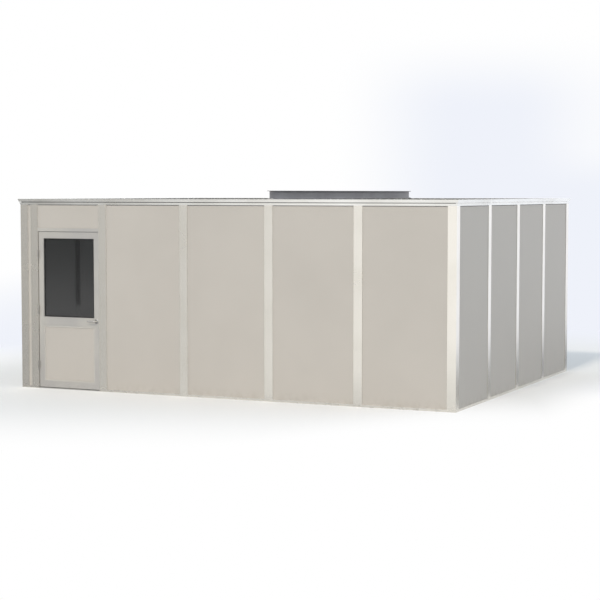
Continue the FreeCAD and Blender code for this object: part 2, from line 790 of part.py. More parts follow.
def hinge_leaves(label, first_knuckle, side):
    """One half of every hinge: its knuckles, its wing in the gap, and webs between them."""
    pieces = []
    wing_at = doorway_at if side == "jamb" else f"({leaf_at} - {hinge_wing_thickness})"
    tall = f"({knuckle_step} - {knuckle_gap})"
    for hinge in range(HINGES):
        foot = f"({lowest_hinge} + {hinge} * {hinge_step})"
        wing = (hinge_wing_thickness, hinge_wing_width, hinge_height)
        pieces.append(box(f"{side}_wing_{hinge}", (wing_at, "0", foot), wing))
        for number in range(first_knuckle, KNUCKLES, 2):
            low = f"({foot} + {number} * {knuckle_step} + {knuckle_gap} / 2)"
            name = f"{hinge}_{number}"
            pieces.append(
                cylinder(f"{side}_knuckle_{name}", knuckle_radius, tall, (pin_at, pin_depth, low))
            )
            web = (hinge_wing_thickness, f"{hinge_wing_thickness} - {pin_depth}", tall)
            pieces.append(box(f"{side}_web_{name}", (wing_at, pin_depth, low), web))
    return joined(label, pieces)


def hinge_pins(name, radius):
    """The pin of every hinge, or the bore for it."""
    pins = []
    for hinge in range(HINGES):
        foot = f"({lowest_hinge} + {hinge} * {hinge_step})"
        pins.append(cylinder(f"{name}_{hinge}", radius, hinge_height, (pin_at, pin_depth, foot)))
    return joined(name, pins)


jamb_halves = hinge_leaves("jamb_halves", 0, "jamb")
joined("jamb_hinges", [jamb_halves, hinge_pins("pins", pin_radius)])
leaf_halves = hinge_leaves("leaf_halves", 1, "leaf")
without("leaf_hinges", leaf_halves, hinge_pins("pin_bores", f"{pin_radius} + {pin_clearance}"))


# Node names: every body, and the two halves of the hinges.
NODES = [item for item in document.Objects if item.TypeId == "PartDesign::Body"]
NODES += [document.getObject(name) for name in ("jamb_hinges", "leaf_hinges")]

document.recompute()
for item in document.Objects:
    if "Invalid" in item.State or "Error" in item.State:
        raise RuntimeError(f"{item.Label} did not recompute: {item.State}")
for node in NODES:
    if node.Shape.isNull() or not node.Shape.isValid():
        raise RuntimeError(f"{node.Label} has no valid shape")

os.makedirs("parts", exist_ok=True)
for node in NODES:
    node.Shape.exportStep(os.path.join("parts", f"{node.Label}.step"))
    print(node.Label, len(node.Shape.Solids), round(node.Shape.Volume / 1000), "cm3")
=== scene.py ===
# %% [markdown]
# # A modular in-plant office
#
# The object is a free-standing room for a plant floor: extruded posts grip flat wall panels,
# channels close them at foot and head, a ribbed steel deck covers the room, and one steel beam
# lies over the roof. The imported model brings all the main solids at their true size. This file
# adds the camera, the finishes, the light and the small parts that a fitter would add on site:
# screws, bolts, gaskets and door seals.
#
# Everything is in metres. X runs to the right along the front wall, Y goes back, Z is up.

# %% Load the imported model
import math

import bmesh
import bpy
from mathutils import Matrix, Vector


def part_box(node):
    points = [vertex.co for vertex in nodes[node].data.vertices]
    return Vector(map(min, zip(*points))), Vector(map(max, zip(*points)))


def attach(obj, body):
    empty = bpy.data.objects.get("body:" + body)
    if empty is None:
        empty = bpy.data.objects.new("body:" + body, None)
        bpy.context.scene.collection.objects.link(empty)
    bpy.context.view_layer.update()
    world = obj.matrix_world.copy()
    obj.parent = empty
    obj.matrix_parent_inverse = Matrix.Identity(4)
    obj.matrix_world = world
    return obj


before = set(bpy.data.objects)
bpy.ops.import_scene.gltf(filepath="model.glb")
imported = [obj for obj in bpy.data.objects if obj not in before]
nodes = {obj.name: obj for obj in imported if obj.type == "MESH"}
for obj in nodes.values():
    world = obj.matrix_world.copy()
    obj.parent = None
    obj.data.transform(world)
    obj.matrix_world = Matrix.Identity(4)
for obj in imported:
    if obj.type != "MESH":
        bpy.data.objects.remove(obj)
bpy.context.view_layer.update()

MM = 0.001

# %% [markdown]
# ## Camera
#
# The photograph was solved from its vanishing points: the long walls meet at a horizon just
# above the roof line, so the camera stands slightly higher than the roof and tilts down by a
# few degrees. A long lens keeps the walls' convergence mild. A camera aimed by eye would get
# the near corner right and the far walls wrong, so the solved numbers are used as they are.

# %% Camera
camera_data = bpy.data.cameras.new("camera")
camera_data.lens = 96.35
camera_data.sensor_width = 36.0
camera_data.clip_end = 1000.0
camera = bpy.data.objects.new("camera", camera_data)
camera.location = (9.12, -20.05, 2.553)
camera.rotation_euler = (math.radians(90 - 3.81), 0.0, math.radians(24.68))
bpy.context.scene.collection.objects.link(camera)
bpy.context.scene.camera = camera
print("camera at", tuple(camera.location))

# %% [markdown]
# ## Writing finishes as expressions
#
# A finish is a small program of shader nodes. Linking nodes one by one is slow to read, so one
# small class wraps a socket: sums and products of sockets add Math nodes by themselves, and
# any other node comes from one method that takes its type, its settings and its inputs.

# %% Socket wrapper
class Wire:
    """An output socket of a node tree that takes part in sums and products."""

    def __init__(self, tree, socket=None):
        self.tree = tree
        self.socket = socket

    def node(self, kind, settings=None, inputs=None, output=0):
        """Add a node of a type, with its settings and the values or wires of its inputs."""
        made = self.tree.nodes.new(kind)
        for name, value in (settings or {}).items():
            setattr(made, name, value)
        for name, value in (inputs or {}).items():
            if isinstance(value, Wire):
                self.tree.links.new(value.socket, made.inputs[name])
            else:
                made.inputs[name].default_value = value
        return Wire(self.tree, made.outputs[output] if made.outputs else None)

    def maths(self, operation, *values):
        return self.node("ShaderNodeMath", {"operation": operation}, dict(enumerate(values)))

    def __add__(self, other):
        return self.maths("ADD", self, other)

    def __sub__(self, other):
        return self.maths("SUBTRACT", self, other)

    def __rsub__(self, other):
        return self.maths("SUBTRACT", other, self)

    def __mul__(self, other):
        return self.maths("MULTIPLY", self, other)

    def __truediv__(self, other):
        return self.maths("DIVIDE", self, other)

    __radd__ = __add__
    __rmul__ = __mul__

    def larger(self, other):
        return self.maths("MAXIMUM", self, other)

    def smaller(self, other):
        return self.maths("MINIMUM", self, other)

    def rising(self, low, high):
        """Zero below low, one above high, smooth between them."""
        inputs = {"Value": self, "From Min": low, "From Max": high}
        return self.node("ShaderNodeMapRange", {"interpolation_type": "SMOOTHSTEP"}, inputs)

    def colours(self, first, second):
        """Colour between two colours, with this value as the share of the second."""
        return self.node("ShaderNodeMix", {"data_type": "RGBA"}, {0: self, 6: first, 7: second}, 2)


def shade(red, green, blue):
    """Scene-linear colour of a paint chip read in screen values."""
    channels = [value / 255 for value in (red, green, blue)]
    return (*[c / 12.92 if c <= 0.04045 else ((c + 0.055) / 1.055) ** 2.4 for c in channels], 1.0)


def new_finish(name):
    """Empty node material and a wire to start its expressions from."""
    material = bpy.data.materials.new(name)
    material.use_nodes = True
    material.node_tree.nodes.clear()
    return material, Wire(material.node_tree)


def position(start, scale=(1.0, 1.0, 1.0)):
    """Object coordinates in metres, drawn out or pressed together on each axis."""
    coordinates = start.node("ShaderNodeTexCoord", output="Object")
    return start.node("ShaderNodeMapping", None, {"Vector": coordinates, "Scale": scale})


def axis(start, name):
    """One object coordinate in metres."""
    coordinates = start.node("ShaderNodeTexCoord", output="Object")
    return start.node("ShaderNodeSeparateXYZ", None, {"Vector": coordinates}, name)


def noise(start, where, scale, detail=2.0):
    inputs = {"Vector": where, "Scale": scale, "Detail": detail}
    return start.node("ShaderNodeTexNoise", None, inputs, "Fac")


def scaled(colour, share):
    """Colour made brighter or darker by a factor."""
    inputs = {"Vector": colour, "Scale": share}
    return colour.node("ShaderNodeVectorMath", {"operation": "SCALE"}, inputs)


def bumped(start, height, strength, distance):
    inputs = {"Height": height, "Strength": strength, "Distance": distance}
    return start.node("ShaderNodeBump", None, inputs)


def surface(start, **sockets):
    """Principled shader on the material's output; an underscore stands for a space."""
    inputs = {name.replace("_", " "): value for name, value in sockets.items()}
    shader = start.node("ShaderNodeBsdfPrincipled", None, inputs)
    start.node("ShaderNodeOutputMaterial", None, {"Surface": shader})


# %% [markdown]
# ## Wall panels
#
# Each panel is a gypsum board with a vinyl skin: a warm greige with a fine pebbled grain that
# takes away most of the shine. A flat colour would look like card from close by. Small cells
# give the grain as a bump, slow noise lets the tone drift by a percent or two from sheet to
# sheet, and a thin veil of floor dust rises over the lowest few centimetres.

# %% Vinyl wall panels
VINYL = shade(191, 185, 178)
VINYL_LIGHT = shade(195, 189, 182)
FLOOR_DUST = shade(170, 163, 152)


def vinyl_finish():
    material, start = new_finish("vinyl_panel")
    drift = noise(start, position(start), 0.9, 3.0).rising(0.3, 0.7)
    tone = drift.colours(VINYL, VINYL_LIGHT)
    low = 1 - axis(start, "Z").rising(0.03, 0.16)
    dust = low * noise(start, position(start), 14.0, 4.0).rising(0.35, 0.75) * 0.35
    grain = start.node(
        "ShaderNodeTexVoronoi", {"feature": "SMOOTH_F1"},
        {"Vector": position(start), "Scale": 420.0, "Smoothness": 0.6}, "Distance",
    )
    pebble = grain + noise(start, position(start), 900.0) * 0.5
    surface(
        start, Base_Color=dust.colours(tone, FLOOR_DUST), Roughness=0.52 + drift * 0.06,
        Normal=bumped(start, pebble, 0.25, 0.0004),
    )
    return material


VINYL_FINISH = vinyl_finish()
print("vinyl:", len(VINYL_FINISH.node_tree.nodes), "shader nodes")

# %% [markdown]
# ## Painted extrusions
#
# Posts, channels and roof trims have a pearl paint over aluminium: the flakes in it mirror the
# room softly, which is why posts that face the dark side of a hall look darker than the vinyl
# and posts that face its bright side look almost white. A plain white paint can't do that, so
# the shader is part metal. Drawn metal has faint lines along its length and paint has an
# orange-peel skin, so both go into one bump. Each family runs in its own direction.

# %% Painted metal
PEARL = shade(232, 228, 220)
PEARL_WORN = shade(218, 214, 204)
SCUFF = shade(120, 115, 107)


def painted_finish(name, drawn, metal=0.82, roughness=0.24, scuffs=0.0, light=PEARL):
    """Pearl paint whose draw lines run along the axis that has the small scale."""
    material, start = new_finish(name)
    lines = noise(start, position(start, drawn), 1.0, 3.0)
    peel = noise(start, position(start), 260.0)
    cloud = noise(start, position(start), 1.7, 4.0).rising(0.35, 0.75)
    tone = (cloud * 0.5).colours(light, PEARL_WORN)
    low = 1 - axis(start, "Z").rising(0.004, 0.12)
    marks = low * noise(start, position(start, (1.0, 1.0, 4.0)), 22.0, 6.0).rising(0.5, 0.68)
    surface(
        start, Base_Color=(marks * scuffs).colours(tone, SCUFF), Metallic=metal,
        Roughness=roughness + cloud * 0.04 + marks * 0.08,
        Normal=bumped(start, lines * 0.6 + peel * 0.4, 0.08, 0.0003),
    )
    return material


UPRIGHT = (900.0, 900.0, 2.0)
ALONG_X = (2.0, 900.0, 900.0)
ALONG_Y = (900.0, 2.0, 900.0)
POST_PAINT = painted_finish("post_paint", UPRIGHT, scuffs=0.25)
TRIM_WHITE = shade(254, 253, 249)
TRIM_PAINT_X = painted_finish("trim_paint_along_front", ALONG_X, metal=0.72, light=TRIM_WHITE)
TRIM_PAINT_Y = painted_finish("trim_paint_along_side", ALONG_Y, metal=0.62, light=TRIM_WHITE)
TRACK_PAINT_X = painted_finish("track_paint_along_front", ALONG_X, scuffs=0.5)
TRACK_PAINT_Y = painted_finish("track_paint_along_side", ALONG_Y, scuffs=0.5)
DOOR_PAINT = painted_finish(
    "door_paint", UPRIGHT, metal=0.35, roughness=0.3, scuffs=0.2, light=shade(194, 191, 188)
)
print("painted metal: six finishes")

# %% [markdown]
# ## Glass, hardware and steel
#
# The upper half of the door is tinted glass. It has to let the room's dark inside show and
# still mirror the hall, so it is a glossy skin that is partly see-through. Its tint is painted
# lighter towards the foot of the glass, which is painted light. The lever is satin steel,
# brushed round its bar, and the sill is bare aluminium with tread marks. Deck and beam wear a
# dull primer with dust lying on what faces up. A darker upright band in the glass follows the
# photograph: it is painted shade, not a tint, and it starts and ends at places measured along
# the wall.

# %% Glass
def glass_finish():
    material, start = new_finish("tinted_glass")
    smear = noise(start, position(start, (1.0, 1.0, 0.35)), 7.0, 4.0).rising(0.45, 0.8)
    across, up = axis(start, "X"), axis(start, "Z")
    # painted light: the tint is lighter towards the foot of the glass
    painted_light_low = 1 - up.rising(0.95, 1.95)
    # painted shade: a dark upright band between places measured along the wall
    band = across.rising(-2.24, -2.16) * (1 - across.rising(-2.14, -2.11))
    painted_shade_band = band * up.rising(1.08, 1.14) * 0.6
    tint_with_painted_light = painted_light_low.colours(shade(60, 61, 62), shade(88, 88, 89))
    surface(
        start, Base_Color=painted_shade_band.colours(tint_with_painted_light, shade(22, 23, 24)),
        Roughness=0.03 + smear * 0.05, IOR=1.5, Alpha=0.5 + smear * 0.02,
    )
    return material


# %% Steel and aluminium
def brushed_finish(name, tone, stretch, roughness=0.28):
    material, start = new_finish(name)
    lines = noise(start, position(start, stretch), 1.0, 4.0)
    handled = noise(start, position(start), 30.0, 3.0).rising(0.4, 0.8)
    surface(
        start, Base_Color=(handled * 0.2).colours(tone, shade(176, 175, 172)), Metallic=1.0,
        Roughness=roughness + lines * 0.12 + handled * 0.06,
        Normal=bumped(start, lines, 0.15, 0.0001),
    )
    return material


def primer_finish(name, dark, light, dusty, metal=0.2):
    """Dull primer with clouds, rust specks and dust on the faces that look up."""
    material, start = new_finish(name)
    cloud = noise(start, position(start), 2.3, 5.0).rising(0.35, 0.7)
    facing = start.node("ShaderNodeNewGeometry", output="Normal")
    up = start.node("ShaderNodeSeparateXYZ", None, {"Vector": facing}, "Z").rising(0.5, 0.95)
    speck = noise(start, position(start), 90.0, 6.0).rising(0.66, 0.72)
    dust = up * noise(start, position(start), 5.0, 5.0).rising(0.3, 0.7) * dusty
    tone = (speck * 0.5).colours(cloud.colours(dark, light), shade(104, 84, 70))
    surface(
        start, Base_Color=dust.colours(tone, shade(150, 147, 140)), Metallic=metal,
        Roughness=0.5 + cloud * 0.15 + dust * 0.3, IOR=1.3,
        Normal=bumped(start, noise(start, position(start), 180.0, 3.0), 0.2, 0.0004),
    )
    return material


def rubber_finish(name, dark, light):
    material, start = new_finish(name)
    skin = noise(start, position(start), 320.0, 3.0)
    bloom = noise(start, position(start), 12.0, 4.0).rising(0.4, 0.8)
    surface(
        start, Base_Color=bloom.colours(dark, light),
        Roughness=0.6 + skin * 0.2, Normal=bumped(start, skin, 0.3, 0.0002),
    )
    return material


GLASS_FINISH = glass_finish()
LEVER_STEEL = brushed_finish("lever_steel", shade(184, 183, 180), (1500.0, 60.0, 60.0), 0.1)
HINGE_STEEL = brushed_finish("hinge_steel", shade(174, 172, 167), (60.0, 60.0, 900.0), 0.35)
SCREW_ZINC = brushed_finish("screw_zinc", shade(200, 201, 203), (700.0, 700.0, 700.0), 0.35)
SILL_METAL = brushed_finish("sill_aluminium", shade(208, 208, 206), (2.0, 1200.0, 400.0), 0.34)
DECK_PRIMER = primer_finish("deck_primer", shade(44, 44, 43), shade(60, 60, 58), 0.15, 0.0)
BEAM_PRIMER = primer_finish("beam_primer", shade(150, 148, 151), shade(173, 171, 174), 0.4, 0.35)
SEAL_RUBBER = rubber_finish("seal_rubber", shade(30, 30, 31), shade(52, 52, 53))
BEAD_VINYL = rubber_finish("bead_vinyl", shade(186, 182, 174), shade(200, 197, 190))
BEAD_LIGHT = rubber_finish("light_bead_vinyl", shade(194, 190, 184), shade(202, 198, 192))
print("glass, metal, primer, rubber and vinyl bead finishes ready")

# %% [markdown]
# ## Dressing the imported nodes
#
# The solids keep their shapes. Each one only gets its finish in place of the plain colour that
# it was packed with. Names sort themselves by family, so a short list of rules is enough.

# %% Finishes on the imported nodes
RULES = [
    ("door_glass", GLASS_FINISH), ("door_panel", VINYL_FINISH), ("lever_", LEVER_STEEL),
    ("_hinges", HINGE_STEEL), ("threshold", SILL_METAL), ("door_", DOOR_PAINT),
    ("roof_deck", DECK_PRIMER), ("roof_beam", BEAM_PRIMER), ("panel", VINYL_FINISH),
    ("post", POST_PAINT),
]
for family, across, along in (
    ("base_track", TRACK_PAINT_X, TRACK_PAINT_Y), ("top_track", TRIM_PAINT_X, TRIM_PAINT_Y),
    ("roof_edge", TRIM_PAINT_X, TRIM_PAINT_Y),
):
    for wall in ("front", "back", "left", "right"):
        RULES.append((f"{family}_{wall}", across if wall in ("front", "back") else along))


def finish_for(name):
    for words, finish in RULES:
        if words in name:
            return finish
    raise ValueError(f"no finish for {name}")


for name, node in nodes.items():
    node.data.materials.clear()
    node.data.materials.append(finish_for(name))
print(len(nodes), "nodes dressed")

# %% [markdown]
# ## Places on the walls
#
# A fitter measures along a wall's outer face from its left-hand corner, as seen from outside,
# then inwards and up. The helper below turns such a measure, in millimetres, into a matrix in
# the model's frame. Its own X runs along the wall, its Y inwards and its Z up, so a screw that
# is drawn once can be driven anywhere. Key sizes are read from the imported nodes.

# %% Wall places
low_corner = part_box("corner_post_front_left")[0]
high_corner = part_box("corner_post_back_right")[1]
HALF_LENGTH = high_corner.x
HALF_DEPTH = high_corner.y
POST = round((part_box("corner_post_front_left")[1].x - low_corner.x) / MM)
FRONT_LENGTH = 2 * HALF_LENGTH / MM
SIDE_LENGTH = 2 * HALF_DEPTH / MM
WALLS = {
    "front": (0, (-HALF_LENGTH, -HALF_DEPTH), FRONT_LENGTH),
    "right": (90, (HALF_LENGTH, -HALF_DEPTH), SIDE_LENGTH),
    "back": (180, (HALF_LENGTH, HALF_DEPTH), FRONT_LENGTH),
    "left": (270, (-HALF_LENGTH, HALF_DEPTH), SIDE_LENGTH),
}


def wall_place(wall, along, inwards, up):
    """Matrix that stands at a measured place of a wall and is turned with that wall."""
    turn, corner, _ = WALLS[wall]
    stand = Matrix.Translation((*corner, 0.0)) @ Matrix.Rotation(math.radians(turn), 4, "Z")
    return stand @ Matrix.Translation((along * MM, inwards * MM, up * MM))


OUTWARDS = Matrix.Rotation(math.radians(90), 4, "X")
print("walls:", round(FRONT_LENGTH), "by", round(SIDE_LENGTH), "mm, posts", POST, "mm")

# %% [markdown]
# ## Small shapes
#
# A few shapes make up every small part: a strip with eased edges, a rectangular ring, and three
# screw heads, which are a hexagon on a washer, a low dome and a countersunk disc. Each is drawn
# by bmesh operators about its own foot and put in place by a matrix, and many of them share one
# mesh, because a hundred objects for a hundred screws would only slow the scene down.

# %% Shape helpers
def add_strip(work, place, size, ease=0.4):
    """Bar of a size in millimetres, standing on its place's XY plane, with eased edges."""
    length, width, height = (value * MM for value in size)
    shape = Matrix.Diagonal((length, width, height, 1.0))
    lift = Matrix.Translation((0.0, 0.0, height / 2))
    made = bmesh.ops.create_cube(work, size=1.0, matrix=place @ lift @ shape)
    edges = list({edge for vert in made["verts"] for edge in vert.link_edges})
    if ease:
        bmesh.ops.bevel(
            work, geom=edges, offset=ease * MM, segments=2, profile=0.5, affect="EDGES",
            material=-1,
        )


def add_round(work, place, radius, height, top, sides=16):
    """Round head: a short cone from radius to top radius, seated on the place's XY plane."""
    lift = Matrix.Translation((0.0, 0.0, height * MM / 2))
    bmesh.ops.create_cone(
        work, cap_ends=True, segments=sides, radius1=radius * MM, radius2=top * MM,
        depth=height * MM, matrix=place @ lift,
    )


def add_hex_screw(work, place, across=8.0):
    """Washer and hexagon head of a self-drilling screw, pointing along the place's Z."""
    add_round(work, place, across * 0.9, 1.2, across * 0.8, 12)
    on_washer = place @ Matrix.Translation((0.0, 0.0, 1.2 * MM))
    add_round(work, on_washer, across * 0.56, 3.6, across * 0.56, 6)
    on_head = on_washer @ Matrix.Translation((0.0, 0.0, 3.6 * MM))
    add_round(work, on_head, across * 0.56, 0.7, across * 0.42, 6)


def add_pan_screw(work, place, radius=4.5):
    """Low domed head: a rim and a cone on top of it."""
    add_round(work, place, radius, 1.2, radius, 12)
    on_rim = place @ Matrix.Translation((0.0, 0.0, 1.2 * MM))
    add_round(work, on_rim, radius, 1.1, radius * 0.62, 12)


def add_flat_screw(work, place, radius=3.5):
    """Countersunk head that stands off its plate by a hair."""
    add_round(work, place, radius, 0.3, radius * 0.9, 12)


def add_ring(work, place, size, band, thickness, ease=0.6):
    """Rectangular ring from the place's origin, in its XY plane, that rises along its Z."""
    width, height = (value * MM for value in size)
    middle = Matrix.Translation((width / 2, height / 2, 0.0))
    shape = Matrix.Diagonal((width, height, 1.0, 1.0))
    made = bmesh.ops.create_grid(
        work, x_segments=1, y_segments=1, size=0.5, matrix=place @ middle @ shape
    )
    sheet = made["verts"][0].link_faces[0]
    around = bmesh.ops.inset_region(
        work, faces=[sheet], thickness=band * MM, use_boundary=True, use_even_offset=True
    )["faces"]
    bmesh.ops.delete(work, geom=[sheet], context="FACES_ONLY")
    raised = bmesh.ops.extrude_face_region(work, geom=around)["geom"]
    upper = [item for item in raised if isinstance(item, bmesh.types.BMVert)]
    lift = place.to_3x3() @ Vector((0.0, 0.0, thickness * MM))
    bmesh.ops.translate(work, vec=lift, verts=upper)
    tops = set(upper)
    walls = {face for vert in upper for face in vert.link_faces if set(face.verts) - tops}
    rims = {edge for face in walls for edge in face.edges if set(edge.verts) <= tops}
    bmesh.ops.bevel(
        work, geom=list(rims), offset=ease * MM, segments=2, profile=0.5, affect="EDGES",
        material=-1,
    )


def keep(work, name, finish, body):
    """Turn a bmesh into a piece of the scene that rides on a body."""
    bmesh.ops.recalc_face_normals(work, faces=work.faces)
    mesh = bpy.data.meshes.new(name)
    work.to_mesh(mesh)
    work.free()
    piece = bpy.data.objects.new(name, mesh)
    bpy.context.scene.collection.objects.link(piece)
    mesh.materials.append(finish)
    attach(piece, body)
    print(name, len(mesh.polygons), "faces")
    return piece


# %% [markdown]
# ## Beads beside the posts
#
# Where a post's lip grips a panel, a slim vinyl bead is pressed into the corner, and a dark
# foam seal closes the joint under the head channel; that seal is also painted shade, as it
# deepens the shadow line under the channel. On the front and back walls a dark strip lies in
# the groove above it. It is painted shade that stands for the groove's shadow, so the side
# walls, where the groove is lit, have none. The beads could be painted on as lines in a
# shader, but real strips catch their own light and shadow. All walls share one rhythm of posts
# and fields, so one loop over the fields serves them all.

# %% Beads, head seals and painted shade strips
STRIKE_EDGE = (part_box("strike_post")[1].x + HALF_LENGTH) / MM
DOORWAY = (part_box("hinge_post")[1].x + HALF_LENGTH) / MM
DOORWAY_END = (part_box("strike_post")[0].x + HALF_LENGTH) / MM
TRACK_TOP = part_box("base_track_right")[1].z / MM
WALL_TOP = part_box("top_track_front")[0].z / MM
HEAD_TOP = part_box("door_head")[1].z / MM
PANEL_DEPTH = (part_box("front_panel_1")[0].y + HALF_DEPTH) / MM
BAYS = {"front": 4, "right": 4, "back": 5, "left": 4}
BEAD = (4.0, 3.0)
HEAD_SEAL_SHADE_STRIP = (4.0, 6.0)


def fields(wall):
    """Start and width of every full panel field of a wall, in millimetres."""
    first = STRIKE_EDGE if wall == "front" else POST
    pitch = (WALLS[wall][2] - first) / BAYS[wall]
    return [(first + number * pitch, pitch - POST) for number in range(BAYS[wall])]


def bead_round(beads, wall, start, width, low):
    """Two upright beads, one in each corner of a field."""
    for along in (start + BEAD[0] / 2, start + width - BEAD[0] / 2):
        place = wall_place(wall, along, PANEL_DEPTH - BEAD[1] / 2, low)
        add_strip(beads, place, (*BEAD, WALL_TOP - low), 0.8)


beads, seal_and_shade_strips = bmesh.new(), bmesh.new()
for wall in WALLS:
    wide = [(start, width, TRACK_TOP) for start, width in fields(wall)]
    if wall == "front":
        hinge_edge = DOORWAY - POST
        wide += [(POST, hinge_edge - POST, TRACK_TOP), (DOORWAY, DOORWAY_END - DOORWAY, HEAD_TOP)]
    for start, width, low in wide:
        bead_round(beads, wall, start, width, low)
        # the dark head seal is partly painted shade: it deepens the shadow line under the head
        # channel
        depth = PANEL_DEPTH - HEAD_SEAL_SHADE_STRIP[0] / 2
        under_band = wall_place(wall, start + width / 2, depth, WALL_TOP - HEAD_SEAL_SHADE_STRIP[1])
        add_strip(seal_and_shade_strips, under_band, (width - 2 * BEAD[0], *HEAD_SEAL_SHADE_STRIP), 0.8)
keep(beads, "panel_beads", BEAD_VINYL, "building")
keep(seal_and_shade_strips, "head_seals_and_painted_shade", SEAL_RUBBER, "building")

CROWN_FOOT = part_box("roof_edge_front")[0].z / MM
GROOVE = 8.0
GROOVE_PLAY = 0.2
CROWN_STRIP_WIDTH = 13.0
SHORT_OF_CORNER = 20.0
# painted shade: a dark strip in the crown's groove, on the front and back walls only, standing for
# the shadow in the groove
crown_groove_painted_shade = bmesh.new()
for wall in ("front", "back"):
    place = wall_place(wall, FRONT_LENGTH / 2, 0.5, CROWN_FOOT - GROOVE + GROOVE_PLAY)
    size = (FRONT_LENGTH - 2 * SHORT_OF_CORNER, CROWN_STRIP_WIDTH, GROOVE - 2 * GROOVE_PLAY)
    add_strip(crown_groove_painted_shade, place, size, 0.6)
keep(crown_groove_painted_shade, "crown_groove_painted_shade", SEAL_RUBBER, "building")

# %% [markdown]
# ## Screws in the floor channels and roof trims
#
# A fitter drives pan-head screws through the floor channel into each panel and beside the
# doorway, and painted ones through the roof trim into the deck. They are drawn at even steps
# because that is how a template places them, and each family is one mesh.

# %% Channel and trim screws
PANEL_SHARES = (0.08, 0.5, 0.92)
BESIDE_DOORWAY = (POST + 12.0, DOORWAY - POST + 30.0)
channel_screws = bmesh.new()
for wall in WALLS:
    for start, width in fields(wall):
        for share in PANEL_SHARES:
            place = wall_place(wall, start + share * width, 0.0, TRACK_TOP / 2)
            add_pan_screw(channel_screws, place @ OUTWARDS)
for along in BESIDE_DOORWAY:
    add_pan_screw(channel_screws, wall_place("front", along, 0.0, TRACK_TOP / 2) @ OUTWARDS)
keep(channel_screws, "channel_screws", SCREW_ZINC, "building")

CROWN_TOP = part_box("roof_edge_front")[1].z / MM
TRIM_SCREW_STEP = 300.0
TRIM_SCREW_DEPTH = 22.0
trim_screws = bmesh.new()
for wall in WALLS:
    length = WALLS[wall][2]
    count = round(length / TRIM_SCREW_STEP)
    for number in range(count):
        along = (number + 0.5) * length / count
        add_pan_screw(trim_screws, wall_place(wall, along, TRIM_SCREW_DEPTH, CROWN_TOP))
keep(trim_screws, "trim_screws", TRIM_PAINT_Y, "building")

# %% [markdown]
# ## Deck screws and beam bolts
#
# The ribbed sheets are screwed down through every second crest, about once a metre, and two
# bolts hold each end of the beam to the trim below it. The photograph is too small to show any
# of them, but from above the rows of heads give the deck its scale. Crest lines are found in
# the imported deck's own vertices, so the heads sit on metal.

# %% Deck and beam fixings
deck = nodes["roof_deck"].data
deck_top = max(vert.co.z for vert in deck.vertices)
on_crest = [vert.co.y for vert in deck.vertices if deck_top - vert.co.z < 0.2 * MM]
crest_edges = sorted({round(value / MM) for value in on_crest})
pairs = zip(crest_edges, crest_edges[1:])
crests = [(low + high) / 2 for low, high in pairs if 60 < high - low < 140]
BEAM_LOW, BEAM_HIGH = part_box("roof_beam")
SCREW_COLUMNS = 7
SCREW_STEP = 960.0
BESIDE_BEAM = 20.0
deck_screws = bmesh.new()
for across in crests[::2]:
    for step in range(SCREW_COLUMNS):
        along = (step - SCREW_COLUMNS // 2) * SCREW_STEP
        if not BEAM_LOW.x / MM - BESIDE_BEAM < along < BEAM_HIGH.x / MM + BESIDE_BEAM:
            place = Matrix.Translation((along * MM, across * MM, deck_top))
            add_hex_screw(deck_screws, place, 7.0)
keep(deck_screws, "deck_screws", SCREW_ZINC, "building")

FLANGE = 8.0
FROM_END = 16.0 * MM
FROM_SIDE = 14.0 * MM
beam_bolts = bmesh.new()
for end in (BEAM_LOW.y + FROM_END, BEAM_HIGH.y - FROM_END):
    for side in (BEAM_LOW.x + FROM_SIDE, BEAM_HIGH.x - FROM_SIDE):
        place = Matrix.Translation((side, end, BEAM_LOW.z + FLANGE * MM))
        add_hex_screw(beam_bolts, place, 12.0)
keep(beam_bolts, "beam_bolts", SCREW_ZINC, "building")

# %% [markdown]
# ## Glazing gaskets and panel beads of the door
#
# The glass is clamped between two rubber gaskets and the lower panel between two snap-in beads.
# A gasket is a mitred ring, so it is drawn as one: a sheet is inset, its middle taken away and
# the band raised, which gives the clean mitres that four loose strips wouldn't have.

# %% Door gaskets and beads
LEAF_LOW, LEAF_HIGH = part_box("door_leaf_frame")
LEAF_FACE = (LEAF_LOW.y + HALF_DEPTH) / MM
LEAF_BACK = (LEAF_HIGH.y + HALF_DEPTH) / MM
LEAF_START = (LEAF_LOW.x + HALF_LENGTH) / MM
LEAF_END = (LEAF_HIGH.x + HALF_LENGTH) / MM
REBATE = 8.0
TO_ROOM = Matrix.Rotation(math.radians(180), 4, "Z") @ OUTWARDS


def opening_ring(work, node, band, thickness):
    """Rings on both faces of a filling, as wide as the opening that shows it."""
    low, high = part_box(node)
    start, end = ((value + HALF_LENGTH) / MM for value in (low.x, high.x))
    face, back = ((value + HALF_DEPTH) / MM for value in (low.y, high.y))
    foot, head = low.z / MM + REBATE, high.z / MM - REBATE
    size = (end - start - 2 * REBATE, head - foot)
    outer = wall_place("front", start + REBATE, face, foot) @ OUTWARDS
    inner = wall_place("front", end - REBATE, back, foot) @ TO_ROOM
    for place in (outer, inner):
        add_ring(work, place, size, band, thickness)


gaskets = bmesh.new()
opening_ring(gaskets, "door_glass", 12.0, 6.0)
keep(gaskets, "glazing_gaskets", SEAL_RUBBER, "door")
panel_stops = bmesh.new()
opening_ring(panel_stops, "door_panel", 14.0, 7.0)
keep(panel_stops, "kick_panel_beads", BEAD_LIGHT, "door")

# %% [markdown]
# ## Seals round the leaf
#
# A rubber bulb on each stop meets the closed leaf, and a blade under the leaf wipes the sill.
# They are what makes the joints round a real door look black. Each bulb stays a millimetre off
# the leaf, so the door swings free of it.

